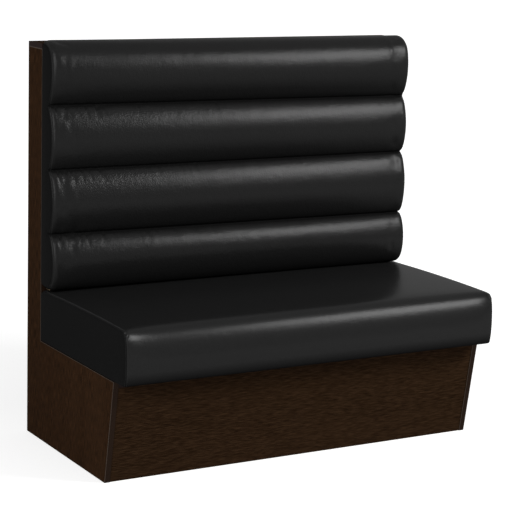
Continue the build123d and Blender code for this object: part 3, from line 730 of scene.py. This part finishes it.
def seat_outline(set_in, fullness, roll):
    """The seat's outline: a bulging front, a top that is an arc along Y, and a fall under the back pad.

    The front stands out by its swell times a parabola raised to 0.7, and the top rises by its crown times a
    parabola. The crown is a third as high at the ends as in the middle. The roll from the front to the top is
    tight at the end seams and widens away from them.
    """
    front = seat_front + set_in
    top = seat_edge_height - set_in
    low = seat_bottom + 0.3 * set_in
    rear_top = seat_rear_top - set_in
    t = np.linspace(0, 1, 60)
    bow = 4 * t * (1 - t)
    bottom = np.array(((seat_wall, low), (front, low)))
    front_run = np.c_[front + seat_front_lean * t - seat_front_swell * bow**0.7, low + (top - low) * t]
    top_front = front + seat_front_lean
    crown = seat_crown * (0.35 + 0.65 * fullness) * bow
    top_run = np.c_[top_front + (seat_crown_end - top_front) * t, top + crown]
    top_run = np.r_[top_run, ((seat_wall, rear_top),)]
    rear = np.array(((seat_wall, rear_top), (seat_wall, low)))
    even_level = np.linspace(0, 1, seat_across + 1)[:-1]
    even_rise, half_turn = (np.linspace(0, end, seat_upright + 1)[:-1] for end in (1, np.pi))
    rise = 0.5 * even_rise + 0.5 * (1 - np.cos(half_turn)) / 2
    roll_cut = seat_corner_cut + (seat_middle_cut - seat_corner_cut) * roll
    return on_outline((bottom, front_run, top_run, rear), (even_level, rise, even_level**1.25, rise),
                      (seat_rear_cut, seat_lower_cut, roll_cut, seat_under_cut))


xs, set_in, fullness = along_bench(seat_end_turn, seat_columns)
seat_seam_x = seat_high[0] - seat_end_turn[seat_seam_station, 0]
roll = 1 - np.exp(-np.maximum(seat_seam_x - np.abs(xs), 0) / seat_roll_reach)
loops = np.stack([seat_outline(*values) for values in zip(set_in, fullness, roll)])
points, faces, number = pad_shell(loops, xs, seat_across, seat_upright)
seat_pad = piece("seat_cover_padded", points, faces, seat_vinyl)
seat_pad.data.materials.append(shaded_copy_vinyl)

seam_stations = (len(seat_end_turn) - 1 - seat_seam_station, len(xs) - len(seat_end_turn) + seat_seam_station)
front_and_top = np.arange(seat_across, 2 * seat_across + seat_upright + 1)
seat_seams = [points[number[station, front_and_top]] for station in seam_stations]
under = number[:, :seat_across + 1].ravel()
behind = number[:, 2 * seat_across + seat_upright:].ravel()
seat_seam_rows = [number[station, front_and_top] for station in seam_stations]
swell(seat_pad, np.unique(np.concatenate([under, behind, *seat_seam_rows])), 0.2, 0.006)
subdivided(seat_pad, seat_seam_rows)

# Along each end seam the cover is drawn in, most at the front corner, where it puckers: a deep bell round the
# corner's point, less a lower one in a ring round it.
shape = read(seat_pad.data.vertices, "co")
outwards = read(seat_pad.data.vertex_normals, "vector")
x, y, z = shape.T
above_hem, before_rear = 0.004, 0.01
shown = (z > seat_bottom + above_hem) & (y < seat_wall - before_rear)
pucker_y, pucker_z = seat_front + 0.006, seat_edge_height - 0.007
pucker_depth, pucker_width = 0.0030, 0.0045
ring_height, ring_radius, ring_width = 0.0016, 0.008, 0.0028
dip = seam_groove(np.abs(x) - seat_seam_x, 0.0012)
for side in (-1, 1):
    reach = np.linalg.norm(np.stack([x - side * seat_seam_x, y - pucker_y, z - pucker_z], -1), axis=1)
    dip += pucker_depth * bell(reach, pucker_width) - ring_height * bell(reach - ring_radius, ring_width)
write_points(seat_pad.data, shape - outwards * (dip * shown)[:, None])
# The seat's ends beyond the seams take the darker, duller copy of the vinyl: a painted shade.
second_finish(seat_pad.data, np.abs(read(seat_pad.data.polygons, "center")[:, 0]) > seat_seam_x)
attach(seat_pad, "seat_pad")
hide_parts("seat_cover")
for side, seam in zip(("left", "right"), seat_seams):
    for row, offset in (("inner", 0.003), ("outer", -0.003)):
        stitches = stitch_row("seat_" + side + "_" + row + "_stitches", seat_pad, seam, offset)
        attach(stitches, "seat_pad")


# The back pad hangs on its cleat. Its cover is black vinyl, sewn into four level channels over foam rolls,
# with a boxing strip at each end that follows the channels, and stapled round the edge of its board.
back_low, back_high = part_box("back_cover")
back_wall = back_high[1]
back_bottom = back_low[2]
back_top = back_high[2]
# The channels' edges from the bottom up: how far each stands in front of the wall side, and how high it is in
# the middle. Then how far each falls per metre from the left to the right.
channel_edges = np.array(((0.0650, back_bottom), (0.0593, 0.6126), (0.0527, 0.7989), (0.0463, 0.9775),
                          (0.0480, back_top + 0.004)))
channel_fall = np.array((0.0030, 0.0066, 0.0, 0.0058, 0.0025))
channel_swell = 0.026
channel_middle_swell = 0.003
back_cuts = [(cut, cut) for cut in (0.009, 0.026, 0.0, 0.0, 0.0, 0.036, 0.010)]
back_end_roll, back_end_set_in = 0.018, 0.016
turn = np.radians(np.array((0, 16, 30, 43, 55, 67, 79, 90)))
back_end_turn = np.c_[back_end_roll * (1 - np.sin(turn)), back_end_set_in * (1 - np.cos(turn))]
back_seam_station = 4
back_across, channel_steps = 6, 14
back_columns = 176


def seam_height(seam, x):
    """The height of a channel's edge: level but for a fall from the left end to the right."""
    return channel_edges[seam, 1] - channel_fall[seam] * x


def back_outline(x, set_in, fullness):
    """The back pad's outline: four bulging channels in front of a flat back.

    From seam to seam the cover stands out by the swell times one minus the square of the distance from the
    channel's middle, raised to 0.8 so that it is fuller than an arc.
    """
    edges = channel_edges - (set_in, 0)
    edges[:, 1] -= channel_fall * x
    edges[0, 1] += set_in
    edges[-1, 1] -= set_in
    t = np.linspace(0, 1, 80)[:, None]
    bow = (1 - (2 * t - 1) ** 2) ** 0.8 * (channel_swell + channel_middle_swell * fullness)
    lines = [low + (high - low) * t + np.c_[bow, 0 * bow] for low, high in zip(edges[:-1], edges[1:])]
    bottom = np.array(((0, edges[0, 1]), edges[0]))
    top = np.array((edges[-1], (0, edges[-1, 1])))
    rear = np.array(((0, edges[-1, 1]), (0, edges[0, 1])))
    level_share = np.linspace(0, 1, back_across + 1)[:-1]
    channel_share = (1 - np.cos(np.linspace(0, np.pi, channel_steps + 1)[:-1])) / 2
    rear_share = np.linspace(0, 1, 4 * channel_steps + 1)[:-1]
    shares = (level_share, *(channel_share,) * 4, level_share, rear_share)
    outline = on_outline((bottom, *lines, top, rear), shares, back_cuts)
    return np.c_[back_wall - outline[:, 0], outline[:, 1]]


xs, set_in, fullness = along_bench(back_end_turn, back_columns)
loops = np.stack([back_outline(*values) for values in zip(xs, set_in, fullness)])
back_upright = 4 * channel_steps
points, faces, number = pad_shell(loops, xs, back_across, back_upright)
# On faces turned down the back's vinyl loses most of its gloss: a painted shade on the lower parts of the rolls.
back_vinyl = vinyl("black_vinyl_back", 0.18, 0.0043, 0.0084, 1.0, ("Normal", -0.4, 0.0, 0.12, 1))
back_pad = piece("back_cover_padded", points, faces, back_vinyl)
back_pad.data.materials.append(shaded_copy_vinyl)

seam_stations = (len(back_end_turn) - 1 - back_seam_station, len(xs) - len(back_end_turn) + back_seam_station)
front_run = np.arange(back_across, 2 * back_across + back_upright + 1)
back_seams = [points[number[station, front_run]] for station in seam_stations]
channel_seams = (1, 2, 3)
channel_rows = [back_across + channel_steps * seam for seam in channel_seams]
behind = number[:, 2 * back_across + back_upright:].ravel()
under = number[:, :back_across + 1].ravel()
back_seam_rows = [number[:, row] for row in channel_rows] + [number[k, front_run] for k in seam_stations]
swell(back_pad, np.unique(np.concatenate([behind, under, *back_seam_rows])), 0.0, 0.005)
subdivided(back_pad, back_seam_rows)

# From each channel's seam run folds: how many, from where to where along the bench, down (1) or up (-1), the
# seed, and the least and the most of their depth, width, length and slant. They are deepest at the left end.
fold_runs = (
    (15, -0.592, -0.42, 1, 10, ((0.0014, 0.0030), (0.0032, 0.0048), (0.010, 0.018), (-0.25, 0.25))),
    (26, -0.42, -0.05, 1, 40, ((0.0004, 0.0014), (0.0035, 0.0055), (0.008, 0.016), (-0.25, 0.25))),
    (36, -0.05, 0.594, 1, 20, ((0.0001, 0.0009), (0.0035, 0.0060), (0.008, 0.016), (-0.25, 0.25))),
    (14, -0.592, -0.38, -1, 30, ((0.0003, 0.0012), (0.0035, 0.0055), (0.008, 0.014), (-0.3, 0.3))),
)
groove_depth, groove_width = 0.0032, 0.0018
pull_depth, pull_width = 0.0024, 0.0110
back_seam_x = back_high[0] - back_end_turn[back_seam_station, 0]
shape = read(back_pad.data.vertices, "co")
outwards = read(back_pad.data.vertex_normals, "vector")
x, y, z = shape.T
side_from, side_over, above_bottom = back_wall - 0.012, 0.01, 0.02
front_from, front_over = back_wall - 0.036, 0.004
shown = np.clip((side_from - y) / side_over, 0, 1) * (z > back_bottom + above_bottom)
in_front = np.clip((front_from - y) / front_over, 0, 1)
dip = shown * seam_groove(np.abs(x) - back_seam_x, 0.0013)
for seam in channel_seams:
    below = seam_height(seam, x) - z
    dip += in_front * (groove_depth * bell(below, groove_width) + pull_depth * bell(below, pull_width))
    dip += in_front * sum(folds(x, way * below, amount, first, last, seed + seam, sizes)
                          for amount, first, last, way, seed, sizes in fold_runs)

# Near the boxing the foam is uneven. It has soft dents and lumps, seeded, each a bell that is longer in height.
dents, dents_from, lengthening = 60, 0.49, 0.6
rng = np.random.default_rng(7)
dent_side = rng.choice((-1, 1), dents, p=(0.6, 0.4))
dent_x = dent_side * (back_high[0] - rng.uniform(0.014, 0.075, dents))
dent_z = rng.uniform(0.50, 1.13, dents)
dent_depth = rng.uniform(-0.0016, 0.0022, dents)
dent_width = rng.uniform(0.007, 0.015, dents)
near_end = np.flatnonzero((np.abs(x) > dents_from) & (in_front > 0))
far = np.hypot(x[near_end, None] - dent_x, (z[near_end, None] - dent_z) * lengthening)
dip[near_end] += (dent_depth * bell(far, dent_width)).sum(1) * in_front[near_end]
deepest = 0.0058
write_points(back_pad.data, shape - outwards * np.minimum(dip, deepest)[:, None])

# The boxing strips and the bottoms of the channels' grooves take the darker, duller copy of the vinyl: a painted
# shade on the ends and in the grooves.
groove_half = 0.0030
middle_x, _, middle_z = read(back_pad.data.polygons, "center").T
in_groove = [np.abs(middle_z - seam_height(seam, middle_x)) < groove_half for seam in channel_seams]
second_finish(back_pad.data, np.any(in_groove, 0) | (np.abs(middle_x) > back_seam_x))
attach(back_pad, "back_pad")
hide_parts("back_cover")


# The four foam rolls are D-shaped strips of the cream foam, cut to the channels' section. They are glued side
# by side on the base foam, and the cover is drawn over them.
roll_from_end, roll_behind_edge, roll_gap, roll_outer_gap = 0.040, 0.0085, 0.001, 0.040


def foam_rolls():
    """Four D-shaped rolls along X: a flat back, and a front that bulges as the cover does, 8 mm behind it.

    Each roll is its section, carried from one end to the other and closed with a face at each end. The front
    stands out by the swell times one minus the square of the distance from its middle, raised to 0.9.
    """
    t = np.linspace(0, 1, 25)[:, None]
    bow = (1 - (2 * t - 1) ** 2) ** 0.9 * channel_swell
    gaps = (roll_outer_gap, roll_gap, roll_gap, roll_gap, roll_outer_gap)
    points, faces = [], []
    for low in range(4):
        high = low + 1
        for x in (back_low[0] + roll_from_end, back_high[0] - roll_from_end):
            first = np.array((channel_edges[low, 0] - roll_behind_edge, seam_height(low, x) + gaps[low]))
            last = np.array((channel_edges[high, 0] - roll_behind_edge, seam_height(high, x) - gaps[high]))
            section = first + (last - first) * t + np.c_[bow, 0 * bow]
            points.append(np.c_[np.full(len(t), x), back_wall - section[:, 0], section[:, 1]])
        k = np.arange(len(t)) + 2 * len(t) * low
        around = np.r_[k, k[0]]
        faces += np.stack([around[:-1], around[:-1] + len(t), around[1:] + len(t), around[1:]], -1).tolist()
        faces += [k.tolist(), (k[::-1] + len(t)).tolist()]
    return np.concatenate(points), faces


rolls = piece("channel_foam_rolls", *foam_rolls(), cream_foam)
rolls.data.shade_flat()
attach(rolls, "back_pad")
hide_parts("channel_foam")


# Beside each of the back cover's end seams runs a double row of stitches in the same thread as the seat's. It
# follows the channels down the front, from the top of the pad to its bottom.
for side, seam in zip(("left", "right"), back_seams):
    for row, offset in (("inner", 0.003), ("outer", -0.003)):
        stitches = stitch_row("back_" + side + "_" + row + "_stitches", back_pad, seam, offset)
        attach(stitches, "back_pad")
